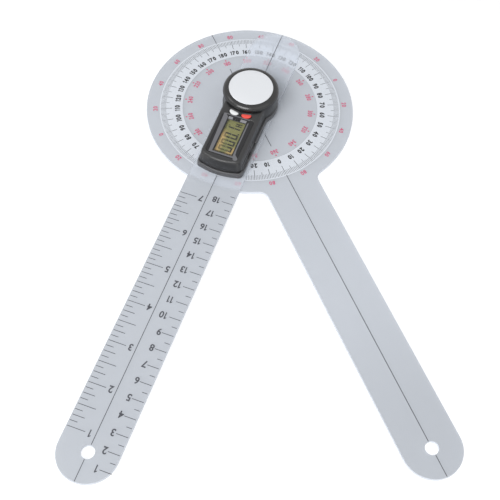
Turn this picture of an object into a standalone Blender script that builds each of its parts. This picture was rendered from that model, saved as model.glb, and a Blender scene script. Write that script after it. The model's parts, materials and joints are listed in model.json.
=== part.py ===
"""Electronic goniometer: two frosted arms on a locking pivot, with a battery-powered reading head on the upper arm."""
import math

import bmesh
import bpy

# Driving sizes in millimetres
PLATE = 2.0
CLEAR = 0.3
FIT = 0.15
DISC_R = 64.3
ARM_HALF = 16.33
ARM_LENGTH = 254.0
HOLE_R = 3.65
NECK_R = 6.0
TAIL = 62.0
OPEN_DEG = 42.84
CASE_SIDE = 4.4
CASE_END = 57.3
CASE_HEAD_R = 17.2
CASE_FACE = 12.2
PART_LINE = 3.5
CASE_WALL = 1.4
TOP_WALL = 1.3
SHELL_STEP = 0.95
KNOB_R = 17.1
KNOB_H = 3.8
DISC_INLAY_R = 13.5
SHAFT_R = 5.0
THREAD_R = 2.4
FLANGE_R = 11.0
ROTOR_R = 10.8
CELL_R = 10.0
CELL_H = 3.2
BUTTON_X = 4.05
BUTTON_GAP = 0.8
BUTTON_W = 6.0
BUTTON_D = 2.8
BUTTON_PROUD = 0.5
LCD_HALF = 6.6
PANEL_HALF = 9.9
PANEL_END = 6.1
PANEL_MARGIN = 2.4
PANEL_FOOT = 1.8
BOARD_CORNER = 6.0
BOSS_R = 1.6
SCREW_R = 0.85

# Levels that follow from the sizes
Z_ARM = PLATE + CLEAR
Z_ARM_TOP = Z_ARM + PLATE
Z_CASE = Z_ARM_TOP + FIT
Z_FLOOR = Z_CASE + 1.3
Z_PART = Z_ARM_TOP + PART_LINE
Z_FACE = Z_ARM_TOP + CASE_FACE
Z_ROOF = Z_FACE - TOP_WALL
Z_TRAY = Z_FLOOR + CLEAR
Z_CELL = Z_TRAY + 0.8 + FIT
Z_CELL_TOP = Z_CELL + CELL_H
Z_BOARD = Z_CELL_TOP + 1.2
Z_BOARD_TOP = Z_BOARD + 0.8
Z_LCD = Z_ROOF - 0.3 - 1.1
Z_KNOB = Z_FACE + CLEAR
Z_KNOB_TOP = Z_KNOB + KNOB_H
Z_SEAT = Z_KNOB_TOP - 0.7
Z_PANEL = Z_FACE - 0.75
HOLE_Y = -(ARM_LENGTH - ARM_HALF)
CASE_HALF = CELL_R + CASE_SIDE
BOARD_HALF = CASE_HALF - 4.0
CELL_Y = -(CASE_END - 17.0)
BUTTON_Y = -(KNOB_R + BUTTON_GAP + BUTTON_D / 2)
PANEL_TOP = BUTTON_Y - BUTTON_D / 2 - 0.5
PANEL_BOTTOM = -(CASE_END - PANEL_END)
LCD_TOP = PANEL_TOP - PANEL_MARGIN
LCD_BOTTOM = PANEL_BOTTOM + PANEL_FOOT
BOARD_BOTTOM = PANEL_BOTTOM + 0.2
HEAD_BOSS = (CASE_HEAD_R - 3.93) * math.sqrt(0.5)
NECK_BOSS = (CASE_HALF - 4.6, BUTTON_Y - 2.05)
BOSSES = [(side * x, y) for x, y in ((HEAD_BOSS, HEAD_BOSS), NECK_BOSS) for side in (-1, 1)]
MM = 0.001


def material(name, colour, rough, metal=0.0):
    """Return a Principled material."""
    made = bpy.data.materials.new(name)
    made.use_nodes = True
    shader = made.node_tree.nodes["Principled BSDF"]
    shader.inputs["Base Color"].default_value = (*colour, 1.0)
    shader.inputs["Roughness"].default_value = rough
    shader.inputs["Metallic"].default_value = metal
    return made


def add_object(name, mesh_builder, parent=None, paint=None):
    """Link a new mesh object from a finished bmesh."""
    bmesh.ops.recalc_face_normals(mesh_builder, faces=mesh_builder.faces[:])
    mesh = bpy.data.meshes.new(name)
    mesh_builder.to_mesh(mesh)
    mesh_builder.free()
    made = bpy.data.objects.new(name, mesh)
    bpy.context.scene.collection.objects.link(made)
    made.parent = parent
    if paint:
        mesh.materials.append(paint)
    return made


def loft(name, rings, parent=None, paint=None):
    """Close a stack of equal rings, each a list of (x, y, z) in millimetres, with a cap at both ends."""
    bm = bmesh.new()
    rows = [[bm.verts.new((x * MM, y * MM, z * MM)) for x, y, z in ring] for ring in rings]
    count = len(rows[0])
    for low, high in zip(rows, rows[1:]):
        for i in range(count):
            j = (i + 1) % count
            bm.faces.new((low[i], low[j], high[j], high[i]))
    bm.faces.new(list(reversed(rows[0])))
    bm.faces.new(rows[-1])
    return add_object(name, bm, parent, paint)


def prism(name, outline, z0, z1, parent=None, paint=None):
    """Raise a flat outline from z0 to z1."""
    rings = [[(x, y, z) for x, y in outline] for z in (z0, z1)]
    return loft(name, rings, parent, paint)


def turned(name, profile, steps, centre=(0.0, 0.0), parent=None, paint=None):
    """Turn a closed (radius, z) profile round a vertical axis; a radius of zero lies on the axis."""
    bm = bmesh.new()
    columns = []
    for radius, z in profile:
        if radius == 0.0:
            point = bm.verts.new((centre[0] * MM, centre[1] * MM, z * MM))
            columns.append([point] * steps)
            continue
        column = []
        for i in range(steps):
            angle = 2.0 * math.pi * i / steps
            x = centre[0] + radius * math.cos(angle)
            y = centre[1] + radius * math.sin(angle)
            column.append(bm.verts.new((x * MM, y * MM, z * MM)))
        columns.append(column)
    for first, second in zip(columns, columns[1:] + columns[:1]):
        for i in range(steps):
            j = (i + 1) % steps
            corners = [first[i], first[j], second[j], second[i]]
            corners = list(dict.fromkeys(corners))
            if len(corners) > 2:
                bm.faces.new(corners)
    return add_object(name, bm, parent, paint)


def rod(name, radius, z0, z1, centre=(0.0, 0.0), steps=32, parent=None, paint=None):
    """Return a plain upright cylinder."""
    return prism(name, circle(radius, steps, centre), z0, z1, parent, paint)


def ring(name, inner, outer, z0, z1, steps=48, parent=None, paint=None):
    """Return a flat washer."""
    profile = [(inner, z0), (outer, z0), (outer, z1), (inner, z1)]
    return turned(name, profile, steps, parent=parent, paint=paint)


def boolean(target, tool, operation="DIFFERENCE"):
    """Cut, join or trim the target with a hidden tool."""
    tool.hide_render = True
    tool.display_type = "WIRE"
    step = target.modifiers.new(operation.lower(), "BOOLEAN")
    step.operation = operation
    step.solver = "EXACT"
    step.object = tool


def arc(centre, radius, start, end, steps):
    """Return steps + 1 points of an arc, angles in degrees."""
    points = []
    for i in range(steps + 1):
        angle = math.radians(start + (end - start) * i / steps)
        points.append((centre[0] + radius * math.cos(angle), centre[1] + radius * math.sin(angle)))
    return points


def circle(radius, steps, centre=(0.0, 0.0)):
    """Return a full circle of points."""
    return arc(centre, radius, 0.0, 360.0 - 360.0 / steps, steps - 1)


def rounded(x0, x1, y0, y1, radius, steps=5):
    """Return a rectangle with rounded corners."""
    points = arc((x1 - radius, y0 + radius), radius, -90.0, 0.0, steps)
    points += arc((x1 - radius, y1 - radius), radius, 0.0, 90.0, steps)
    points += arc((x0 + radius, y1 - radius), radius, 90.0, 180.0, steps)
    points += arc((x0 + radius, y0 + radius), radius, 180.0, 270.0, steps)
    return points


def keyhole(head_r, half, neck_r, end_points, head_steps):
    """Return a round head with a parallel-sided arm towards -Y, blended at the neck."""
    cx = half + neck_r
    cy = -math.sqrt((head_r + neck_r) ** 2 - cx ** 2)
    tangent = math.degrees(math.atan2(cy, cx))
    blend = arc((cx, cy), neck_r, 180.0, 180.0 + tangent, 6)
    left = [(-x, y) for x, y in reversed(blend)]
    head = arc((0.0, 0.0), head_r, tangent, 180.0 - tangent, head_steps)
    return head[1:-1] + left + end_points + blend


def case_ring(z, head_r, half, end, grow=0.0):
    """Return one ring of the reading head: round at the pivot, blunt and bowed at the far end."""
    head_r, half, end = head_r + grow, half + grow, end + grow
    corner = 3.0
    bow = 1.7
    side = half - corner
    points = arc((-side, -(end - bow - corner)), corner, 180.0, 270.0, 5)
    for i in range(1, 8):
        x = -side + 2.0 * side * i / 8
        points.append((x, -(end - bow * (x / side) ** 2)))
    points += arc((side, -(end - bow - corner)), corner, 270.0, 360.0, 5)
    return [(x, y, z) for x, y in keyhole(head_r, half, 3.0, points, 40)]


def lower_sizes(z):
    """Return the head radius, half width and end of the lower shell at a level."""
    t = (z - Z_ARM_TOP) / PART_LINE
    return CASE_HEAD_R - 0.1 * t, CASE_HALF - 0.3 * t, CASE_END - 0.3 * t


def upper_sizes(z):
    """Return the head radius, half width and end of the upper shell at a level; it stands back from the lower one."""
    t = (z - Z_PART) / (Z_FACE - 1.2 - Z_PART)
    return CASE_HEAD_R - 0.3 - 0.35 * t, CASE_HALF - SHELL_STEP - 1.1 * t, CASE_END - SHELL_STEP + 0.15 - 1.1 * t


def case_block(name, sizes, z0, z1, grow, parent):
    """Return a drafted block between two levels."""
    rings = [case_ring(z, *sizes(z), grow) for z in (z0, z1)]
    return loft(name, rings, parent)


def button_outline(side, grow=0.0):
    """Return a half-moon with its flat edge turned to the knob; side is -1 or 1."""
    half = BUTTON_W / 2 + grow
    depth = BUTTON_D / 2 + grow
    flat = arc((half - 0.6, depth - 0.6), 0.6, 0.0, 90.0, 4)
    flat += arc((-half + 0.6, depth - 0.6), 0.6, 90.0, 180.0, 4)
    belly = []
    for i in range(1, 14):
        angle = math.pi + math.pi * i / 14
        belly.append((half * math.cos(angle), depth - 0.6 + (2 * depth - 0.6) * math.sin(angle)))
    turn = math.radians(13.0 * side)
    points = []
    for x, y in flat + belly:
        u = x * math.cos(turn) - y * math.sin(turn)
        v = x * math.sin(turn) + y * math.cos(turn)
        points.append((side * BUTTON_X + u, BUTTON_Y + v))
    return points


def stadium(steps):
    """Return the upper arm's outline with round ends."""
    tip = arc((0.0, HOLE_Y), ARM_HALF, 180.0, 360.0, steps)
    tail = arc((0.0, TAIL - ARM_HALF), ARM_HALF, 0.0, 180.0, steps)
    return tip + tail


def plate_rings(outline, z0, z1, bevel=0.25):
    """Return the rings of a plate with softened top and bottom edges."""
    far = max(math.hypot(x, y) for x, y in outline)
    rings = []
    for z, inset in ((z0, bevel), (z0 + bevel, 0.0), (z1 - bevel, 0.0), (z1, bevel)):
        rings.append([(x, y, z) for x, y in shrink(outline, inset)])
    return rings if far > 0.0 else []


def shrink(outline, inset):
    """Move every point of an outline inwards along its corner's normal."""
    points = []
    count = len(outline)
    for i in range(count):
        ax, ay = outline[i - 1]
        bx, by = outline[(i + 1) % count]
        length = math.hypot(bx - ax, by - ay)
        x, y = outline[i]
        points.append((x - inset * (by - ay) / length, y + inset * (bx - ax) / length))
    return points


def build_base(paint):
    """Build the fixed arm with its dial, the pivot post and what turns with it."""
    tip = arc((0.0, HOLE_Y), ARM_HALF, 180.0, 360.0, 24)
    outline = keyhole(DISC_R, ARM_HALF, NECK_R, tip, 96)
    plate = loft("base_plate", plate_rings(outline, 0.0, PLATE), None, paint["frosted"])
    boolean(plate, rod("cut_base_hole", HOLE_R, -1.0, PLATE + 1.0, (0.0, HOLE_Y)))
    boolean(plate, rod("cut_base_bore", SHAFT_R + CLEAR, -1.0, PLATE + 1.0, steps=48))
    boolean(plate, rod("cut_base_pocket", FLANGE_R + CLEAR, -1.0, 0.95, steps=48))
    profile = [(0.0, 0.0), (FLANGE_R, 0.0), (FLANGE_R, 0.8), (SHAFT_R, 0.8)]
    seat = Z_BOARD_TOP + 0.5
    top = Z_KNOB + 2.3
    profile += [(SHAFT_R, seat), (3.6, seat), (3.6, seat + 0.8), (THREAD_R, seat + 0.8)]
    profile += [(THREAD_R, top - 0.3), (THREAD_R - 0.3, top), (0.0, top)]
    post = turned("pivot_post", profile, 36, paint=paint["steel"])
    boolean(post, prism("cut_post_flat", rounded(2.6, 9.0, -8.0, 8.0, 0.5, 2), seat + 0.05, seat + 1.5))
    for number, spot in enumerate(((-7.63, 2.47), (7.63, -2.47)), 1):
        boolean(plate, rod(f"cut_base_pin_{number}", 0.8 + FIT, 0.5, PLATE - 0.15, spot, 20))
        boolean(post, rod(f"cut_post_pin_{number}", 0.8 + FIT, -1.0, 0.9, spot, 20))
        rod(f"drive_pin_{number}", 0.8, 0.05, PLATE - 0.3, spot, 20, None, paint["steel"])
    rotor = rod("encoder_rotor", ROTOR_R, seat + 0.1, seat + 0.7, steps=48, paint=paint["board"])
    keyed = [(x, y) for x, y in circle(3.6 + FIT, 48) if x < 2.6 + FIT]
    keyed.sort(key=lambda point: math.atan2(point[1], point[0]) % (2.0 * math.pi))
    boolean(rotor, prism("cut_rotor", keyed, seat - 1.0, seat + 2.0))
    ring("rotor_clip", THREAD_R + FIT, 4.8, seat + 0.9, seat + 1.2, 32, None, paint["spring"])


def screw_rod(name, grow, z_top, centre, parent, paint=None):
    """Return a countersunk screw standing on the arm's underside, or the hole it needs."""
    base = Z_ARM - (1.0 if grow else 0.0)
    head = SCREW_R + 1.05 + grow
    profile = [(0.0, base), (head, base), (head, Z_ARM + 0.2)]
    profile += [(SCREW_R + grow, Z_ARM + 1.25), (SCREW_R + grow, z_top), (0.0, z_top)]
    return turned(name, profile, 20, centre, parent, paint)


def build_arm(pivot, paint):
    """Build the upper arm with its ruler and the bush it turns on."""
    arm = loft("ruler_arm", plate_rings(stadium(28), Z_ARM, Z_ARM_TOP), pivot, paint["frosted"])
    boolean(arm, rod("cut_arm_hole", HOLE_R, Z_ARM - 1.0, Z_ARM_TOP + 1.0, (0.0, HOLE_Y), 32, pivot))
    bush_r = SHAFT_R + 2.4
    boolean(arm, rod("cut_arm_bore", bush_r + CLEAR, Z_ARM - 1.0, Z_ARM_TOP + 1.0, steps=48, parent=pivot))
    inner = SHAFT_R + FIT
    profile = [(inner, Z_ARM - 0.1), (bush_r, Z_ARM - 0.1), (bush_r, Z_FLOOR + FIT)]
    profile += [(bush_r + 1.4, Z_FLOOR + FIT), (bush_r + 1.4, Z_FLOOR + 0.9), (inner, Z_FLOOR + 0.9)]
    turned("pivot_bush", profile, 36, parent=pivot, paint=paint["nylon"])
    for number, centre in enumerate(BOSSES, 1):
        boolean(arm, screw_rod(f"cut_arm_screw_{number}", FIT, Z_ROOF, centre, pivot))
        screw_rod(f"case_screw_{number}", 0.0, Z_ROOF - 2.0, centre, pivot, paint["steel"])
    return arm


def build_lower_shell(pivot, paint):
    """Build the shallow half of the reading head that lies on the arm."""
    rings = [case_ring(z, *lower_sizes(z)) for z in (Z_CASE, Z_PART)]
    shell = loft("lower_shell", rings, pivot, paint["black"])
    boolean(shell, case_block("cut_lower", lower_sizes, Z_FLOOR, Z_PART + 1.0, -CASE_WALL, pivot))
    bush_r = SHAFT_R + 2.4
    boolean(shell, rod("cut_lower_bore", bush_r + CLEAR, Z_CASE - 1.0, Z_FLOOR + 1.0, steps=48, parent=pivot))
    for number, centre in enumerate(BOSSES, 1):
        hole = rod(f"cut_lower_screw_{number}", SCREW_R + FIT, Z_CASE - 1.0, Z_FLOOR + 1.0, centre, 20, pivot)
        boolean(shell, hole)
    boolean(shell, tray_slot("cut_lower_slot", pivot))


def tray_slot(name, pivot):
    """Return the block that opens the head's side wall for the battery tray."""
    half = CELL_R + 0.9 + FIT
    outline = rounded(9.0, 20.0, CELL_Y - half, CELL_Y + half, 0.4, 2)
    return prism(name, outline, Z_TRAY - FIT, Z_CELL_TOP + 0.9 + FIT, pivot)


def build_upper_shell(pivot, paint):
    """Build the deep half of the reading head with its face, window and button openings."""
    rings = []
    base = Z_PART + FIT
    for z in (base, Z_FACE - 1.2):
        rings.append(case_ring(z, *upper_sizes(z)))
    head_r, half, end = upper_sizes(Z_FACE - 1.2)
    for angle in (30.0, 60.0, 90.0):
        lift = 1.2 * math.sin(math.radians(angle))
        inset = 1.2 * (1.0 - math.cos(math.radians(angle)))
        rings.append(case_ring(Z_FACE - 1.2 + lift, head_r - 0.15 * inset, half - inset, end - inset))
    shell = loft("upper_shell", rings, pivot, paint["black"])
    boolean(shell, case_block("cut_upper", upper_sizes, base - 1.0, Z_ROOF, -CASE_WALL, pivot))
    for number, centre in enumerate(BOSSES, 1):
        post = rod(f"add_boss_{number}", BOSS_R, Z_FLOOR + FIT, Z_ROOF + 0.2, centre, 24, pivot)
        boolean(shell, post, "UNION")
        pilot = rod(f"cut_pilot_{number}", SCREW_R + FIT, Z_FLOOR - 1.0, Z_ROOF - 1.5, centre, 20, pivot)
        boolean(shell, pilot)
    boolean(shell, rod("cut_post_hole", THREAD_R + 0.6, Z_ROOF - 1.0, Z_FACE + 1.0, parent=pivot))
    panel = rounded(-PANEL_HALF - FIT, PANEL_HALF + FIT, PANEL_BOTTOM - FIT, PANEL_TOP + FIT, 2.0)
    boolean(shell, prism("cut_panel_seat", panel, Z_PANEL - FIT, Z_FACE + 1.0, pivot))
    window = rounded(-LCD_HALF + 0.4, LCD_HALF - 0.4, LCD_BOTTOM + 0.4, LCD_TOP - 0.4, 0.5, 3)
    boolean(shell, prism("cut_window", window, Z_ROOF - 1.0, Z_FACE + 1.0, pivot))
    for side in (-1, 1):
        hole = prism(f"cut_button_{side + 2}", button_outline(side, 0.2), Z_ROOF - 1.0, Z_FACE + 1.0, pivot)
        boolean(shell, hole)
    boolean(shell, tray_slot("cut_upper_slot", pivot))


def build_display(pivot, paint):
    """Build the face panel, the clear pane, the display glass and its rubber connectors."""
    panel = prism("face_panel", rounded(-PANEL_HALF, PANEL_HALF, PANEL_BOTTOM, PANEL_TOP, 2.0), Z_PANEL, Z_FACE, pivot, paint["panel"])
    opening = rounded(-LCD_HALF - FIT, LCD_HALF + FIT, LCD_BOTTOM - FIT, LCD_TOP + FIT, 0.6, 3)
    boolean(panel, prism("cut_panel_window", opening, Z_PANEL - 1.0, Z_FACE + 1.0, pivot))
    pane = rounded(-LCD_HALF, LCD_HALF, LCD_BOTTOM, LCD_TOP, 0.5, 3)
    prism("window_lens", pane, Z_PANEL, Z_FACE - 0.05, pivot, paint["clear"])
    glass = rounded(-LCD_HALF - 1.4, LCD_HALF + 1.4, LCD_BOTTOM - 0.8, LCD_TOP + 0.8, 0.3, 2)
    prism("lcd_glass", glass, Z_LCD, Z_LCD + 1.1, pivot, paint["lcd"])
    for number, side in enumerate((-1, 1), 1):
        x0, x1 = sorted((side * (LCD_HALF - 0.2), side * (LCD_HALF + 1.1)))
        strip = rounded(x0, x1, LCD_BOTTOM + 0.5, LCD_TOP - 0.5, 0.2, 2)
        prism(f"zebra_strip_{number}", strip, Z_BOARD_TOP + 0.1, Z_LCD - 0.1, pivot, paint["rubber"])


def build_board(pivot, paint):
    """Build the circuit board, the key domes and the battery contacts."""
    wide = BOARD_HALF - BOARD_CORNER
    tall = ROTOR_R - 0.2 - BOARD_CORNER
    outline = arc((wide, tall), BOARD_CORNER, 0.0, 90.0, 6) + arc((-wide, tall), BOARD_CORNER, 90.0, 180.0, 6)
    foot = BOARD_CORNER / 2
    low = BOARD_BOTTOM + foot
    outline += arc((foot - BOARD_HALF, low), foot, 180.0, 270.0, 5) + arc((BOARD_HALF - foot, low), foot, 270.0, 360.0, 5)
    board = prism("circuit_board", outline, Z_BOARD, Z_BOARD_TOP, pivot, paint["board"])
    boolean(board, rod("cut_board_bore", SHAFT_R + 0.5, Z_BOARD - 1.0, Z_BOARD_TOP + 1.0, steps=48, parent=pivot))
    for number, centre in enumerate(BOSSES, 1):
        notch = rod(f"cut_board_{number}", BOSS_R + CLEAR, Z_BOARD - 1.0, Z_BOARD_TOP + 1.0, centre, 24, pivot)
        boolean(board, notch)
    for number, side in enumerate((-1, 1), 1):
        place = (side * BUTTON_X, BUTTON_Y)
        low = Z_BOARD_TOP + 0.1
        profile = [(0.0, low), (1.6, low), (1.6, low + 0.12), (0.9, low + 0.35), (0.0, low + 0.4)]
        turned(f"key_dome_{number}", profile, 24, place, pivot, paint["spring"])
    low, high = Z_CELL_TOP + FIT, Z_BOARD - 0.1
    minus = rounded(-3.0, 3.0, CELL_Y - 1.5, CELL_Y + 1.5, 0.4, 2)
    prism("contact_minus", minus, low, high, pivot, paint["spring"])
    plus = rounded(-2.0, 2.0, CELL_Y + CELL_R - 1.6, CELL_Y + CELL_R - 0.2, 0.4, 2)
    prism("contact_plus", plus, low, high, pivot, paint["spring"])


def build_tray(pivot, paint):
    """Build the sliding battery tray and its coin cell."""
    half = CELL_R + 0.9
    left = -(CELL_R + 1.0)
    outline = rounded(left, 17.0, CELL_Y - half, CELL_Y + half, 2.2)
    tray = prism("battery_tray", outline, Z_TRAY, Z_CELL_TOP + 0.9, pivot, paint["black"])
    above = rounded(left - 1.0, CELL_R + 0.8, CELL_Y - half - 1.0, CELL_Y + half + 1.0, 0.5, 2)
    boolean(tray, prism("cut_tray_top", above, Z_CELL_TOP + 0.05, Z_BOARD + 1.0, pivot))
    pocket = rod("cut_tray_cell", CELL_R + FIT, Z_CELL - FIT, Z_BOARD + 1.0, (0.0, CELL_Y), 56, pivot)
    boolean(tray, pocket)
    wall = case_block("trim_tray", upper_sizes, Z_CASE, Z_FACE - 1.2, 0.0, pivot)
    boolean(tray, wall, "INTERSECT")
    face_x = upper_sizes(Z_PART)[1]
    scoop = rod("cut_tray_nail", 2.4, Z_TRAY + 0.2, Z_PART + 1.1, (face_x + 0.6, CELL_Y + 0.8), 32, pivot)
    boolean(tray, scoop)
    profile = [(0.0, Z_CELL), (CELL_R - 1.2, Z_CELL), (CELL_R - 1.1, Z_CELL + 0.25), (CELL_R, Z_CELL + 0.25)]
    profile += [(CELL_R, Z_CELL_TOP - 0.2), (CELL_R - 0.2, Z_CELL_TOP), (0.0, Z_CELL_TOP)]
    turned("coin_cell", profile, 40, (0.0, CELL_Y), pivot, paint["steel"])


def build_buttons(pivot, paint):
    """Build the two half-moon push buttons, each with a hidden flange that keeps it in."""
    for name, side, colour in (("hold_button", -1, "white"), ("power_button", 1, "red")):
        top = Z_FACE + BUTTON_PROUD
        levels = [(Z_BOARD_TOP + 1.2, 0.6), (Z_ROOF - 0.3, 0.6), (Z_ROOF - 0.25, 0.0), (top - 0.4, 0.0)]
        levels += [(top - 0.12, -0.15), (top, -0.45)]
        rings = []
        for z, grow in levels:
            rings.append([(x, y, z) for x, y in button_outline(side, grow)])
        loft(name, rings, pivot, paint[colour])


def build_knob(paint):
    """Build the locking knob with its inlay, nut and washer."""
    profile = [(0.0, Z_KNOB + 0.55), (7.4, Z_KNOB + 0.55), (7.4, Z_KNOB + 2.0), (13.0, Z_KNOB + 2.0)]
    profile += [(13.0, Z_KNOB), (KNOB_R - 0.2, Z_KNOB), (KNOB_R, Z_KNOB + 0.2)]
    rim = KNOB_R - DISC_INLAY_R - 0.2
    rise = KNOB_H - 0.9
    for i in range(8):
        angle = math.radians(90.0 * i / 7)
        profile.append((KNOB_R - rim * (1.0 - math.cos(angle)), Z_KNOB + 0.9 + rise * math.sin(angle)))
    profile += [(DISC_INLAY_R + FIT, Z_KNOB_TOP - 0.05), (DISC_INLAY_R + FIT, Z_SEAT), (0.0, Z_SEAT)]
    knob = turned("lock_knob", profile, 64, paint=paint["knob"])
    boolean(knob, prism("cut_knob_nut", circle(5.0 + FIT, 6), Z_KNOB - 1.0, Z_KNOB + 2.6))
    flat = [(0.0, Z_SEAT + 0.1), (DISC_INLAY_R, Z_SEAT + 0.1), (DISC_INLAY_R, Z_KNOB_TOP - 0.15)]
    flat += [(DISC_INLAY_R - 0.25, Z_KNOB_TOP), (0.0, Z_KNOB_TOP)]
    turned("knob_disc", flat, 64, paint=paint["silver"])
    nut = prism("knob_nut", circle(5.0, 6), Z_KNOB + 0.6, Z_KNOB + 2.45, None, paint["brass"])
    boolean(nut, rod("cut_nut", THREAD_R + FIT, Z_KNOB - 1.0, Z_KNOB + 4.0))
    ring("clamp_washer", THREAD_R + CLEAR, 7.0, Z_FACE + 0.1, Z_KNOB + 0.4, 40, None, paint["nylon"])


def main():
    """Clear the scene and build every piece."""
    for old in list(bpy.data.objects):
        bpy.data.objects.remove(old)
    paint = {
        "frosted": material("frosted_plastic", (0.66, 0.70, 0.75), 0.5),
        "black": material("case_plastic", (0.035, 0.035, 0.037), 0.55),
        "knob": material("knob_plastic", (0.03, 0.03, 0.032), 0.4),
        "panel": material("panel_plastic", (0.04, 0.04, 0.042), 0.5),
        "clear": material("clear_plastic", (0.9, 0.92, 0.9), 0.05),
        "lcd": material("display_glass", (0.42, 0.43, 0.12), 0.2),
        "silver": material("satin_aluminium", (0.86, 0.87, 0.89), 0.3, 1.0),
        "steel": material("steel", (0.6, 0.6, 0.61), 0.3, 1.0),
        "spring": material("spring_steel", (0.7, 0.68, 0.62), 0.3, 1.0),
        "brass": material("brass", (0.75, 0.6, 0.3), 0.3, 1.0),
        "nylon": material("nylon", (0.85, 0.84, 0.8), 0.5),
        "rubber": material("connector_rubber", (0.2, 0.2, 0.22), 0.8),
        "board": material("board_laminate", (0.05, 0.22, 0.1), 0.5),
        "white": material("white_plastic", (0.85, 0.85, 0.85), 0.4),
        "red": material("red_plastic", (0.75, 0.06, 0.04), 0.4),
    }
    pivot = bpy.data.objects.new("arm_pivot", None)
    bpy.context.scene.collection.objects.link(pivot)
    pivot.rotation_euler = (0.0, 0.0, math.radians(-OPEN_DEG))
    build_base(paint)
    build_arm(pivot, paint)
    build_lower_shell(pivot, paint)
    build_upper_shell(pivot, paint)
    build_display(pivot, paint)
    build_board(pivot, paint)
    build_tray(pivot, paint)
    build_buttons(pivot, paint)
    build_knob(paint)


main()
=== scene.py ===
"""Looks for the electronic goniometer.

Frosted plates with printed scales, a black reading head and a silver-capped knob.
"""

import json
import math

import bmesh
import bpy
from mathutils import Matrix, Vector


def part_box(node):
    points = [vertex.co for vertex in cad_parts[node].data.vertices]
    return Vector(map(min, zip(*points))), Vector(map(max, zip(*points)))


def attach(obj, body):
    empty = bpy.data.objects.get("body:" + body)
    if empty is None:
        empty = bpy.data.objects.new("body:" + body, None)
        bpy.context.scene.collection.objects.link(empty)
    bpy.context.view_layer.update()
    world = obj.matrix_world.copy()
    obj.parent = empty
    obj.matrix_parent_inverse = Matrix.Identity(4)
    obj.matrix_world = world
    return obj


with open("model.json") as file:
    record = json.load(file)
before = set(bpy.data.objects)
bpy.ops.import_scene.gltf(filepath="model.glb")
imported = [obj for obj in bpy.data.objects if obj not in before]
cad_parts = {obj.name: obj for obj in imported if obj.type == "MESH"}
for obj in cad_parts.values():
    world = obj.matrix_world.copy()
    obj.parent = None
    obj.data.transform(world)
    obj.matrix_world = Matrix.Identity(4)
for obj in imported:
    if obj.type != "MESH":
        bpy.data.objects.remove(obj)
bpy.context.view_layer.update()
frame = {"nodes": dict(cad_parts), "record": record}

bl_info = {
    "name": "Goniometer finishes",
    "version": (1, 0, 0),
    "blender": (4, 5, 0),
    "location": "View3D > Sidebar > Goniometer",
    "description": "Prints the scales, finishes the plates and the reading head, and sets the stage",
    "category": "Object",
}

# In metres: a millimetre, the print's top above its surface, the ink's thickness, a fine grain's depth
MM = 0.001
LIFT = 0.03 * MM
INK = 0.02 * MM
GRAIN_DEPTH = 0.1 * MM


def arm_turn():
    """Return the ruler arm's rotation at rest, read from the tray's slide axis."""
    for joint in frame["record"]["behaviour"]["joints"]:
        if joint["name"] == "tray_slide":
            return math.atan2(joint["axis"][1], joint["axis"][0])
    raise RuntimeError("the record has no tray_slide joint")


ARM = Matrix.Rotation(arm_turn(), 4, "Z")
BASE_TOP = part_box("base_plate")[1][2]
ARM_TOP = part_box("ruler_arm")[1][2]
FACE_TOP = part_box("face_panel")[1][2]
WINDOW_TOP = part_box("window_lens")[1][2]
LCD_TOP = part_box("lcd_glass")[1][2]

# Dial print in millimetres; a tick row is its count, inner radius and width
DIAL_TICKS = ((360, 52.2, 0.2), (72, 50.4, 0.22), (36, 48.6, 0.26))
DIAL_TICK_END = 55.5
DIAL_LINES = ((-33.0, 33.0), (56.0, 64.0), (-233.8, -56.0), (-253.6, -241.6))
BAND_STEPS = 180

# Rings of dial numbers; each is its radius in millimetres, stroke weight and share of the font's width
BLACK_RING = (45.2, 0.055, 0.84)
RED_RING = (37.6, 0.035, 0.74)
OUTER_RING = (58.9, 0.03, 0.88)
RED_MARKS, RED_MARK_RADIUS = 18, 40.3
RED_MARK_WIDTH, RED_MARK_LENGTH = 0.8, 1.0

# Ruler print in millimetres; a tick row is its count, first place from the tip, step and two ends across
ARM_TIP = -254.0
OVER_DIAL_RADIUS = 64.2
CENTIMETRE, INCH = 10.0, 25.4
RULER_TICKS = (
    (18, CENTIMETRE, CENTIMETRE, 15.8, 9.2),
    (18, CENTIMETRE * 1.5, CENTIMETRE, 15.7, 12.7),
    (13, INCH, INCH / 2, -15.7, -5.7),
    (12, INCH * 1.25, INCH / 2, -15.7, -9.0),
    (24, INCH * 1.125, INCH / 4, -15.7, -11.5),
)
RULER_LINES = ((17.5, 61.7), (-233.8, -57.8), (-253.7, -241.6))
LAST_CENTIMETRE, LAST_INCH = 18, 7
ONE_DIGIT_X, TWO_DIGIT_X, INCH_DIGIT_X = 7.6, 5.75, -3.0

# Display print in millimetres on the arm; a bar is its two ends across and its two ends along
DIGIT_PLACES = (-44.75, -40.2, -35.1, -30.4)
DIGIT_SIZE = (3.7, 8.5, 1.1)
DIGIT_SLANT, DIGIT_SHIFT = 0.04, 0.2
DISPLAY_MARKS = (
    (3.5, 4.4, -33.1, -32.2), (-3.9, -2.9, -27.9, -27.3),
    (0.0, 4.0, -25.9, -25.1), (0.0, 4.0, -27.4, -26.7), (1.7, 2.4, -26.7, -25.9),
)
DISPLAY_BORDER = (
    (-6.5, -5.2, -49.3, -24.0), (5.8, 6.5, -49.3, -24.0),
    (-5.2, 5.8, -24.5, -24.0), (-5.2, 5.8, -49.3, -48.9),
)
BUTTON_PATCHES = ((-5.6, -3.0, -24.5, -22.6), (1.9, 5.6, -24.4, -22.4))
SEGMENTS = {
    "0": "abcdef", "1": "bc", "2": "abged", "3": "abgcd", "4": "fgbc",
    "5": "afgcd", "6": "afgedc", "7": "abc", "8": "abcdefg", "9": "abcdfg",
}

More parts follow.
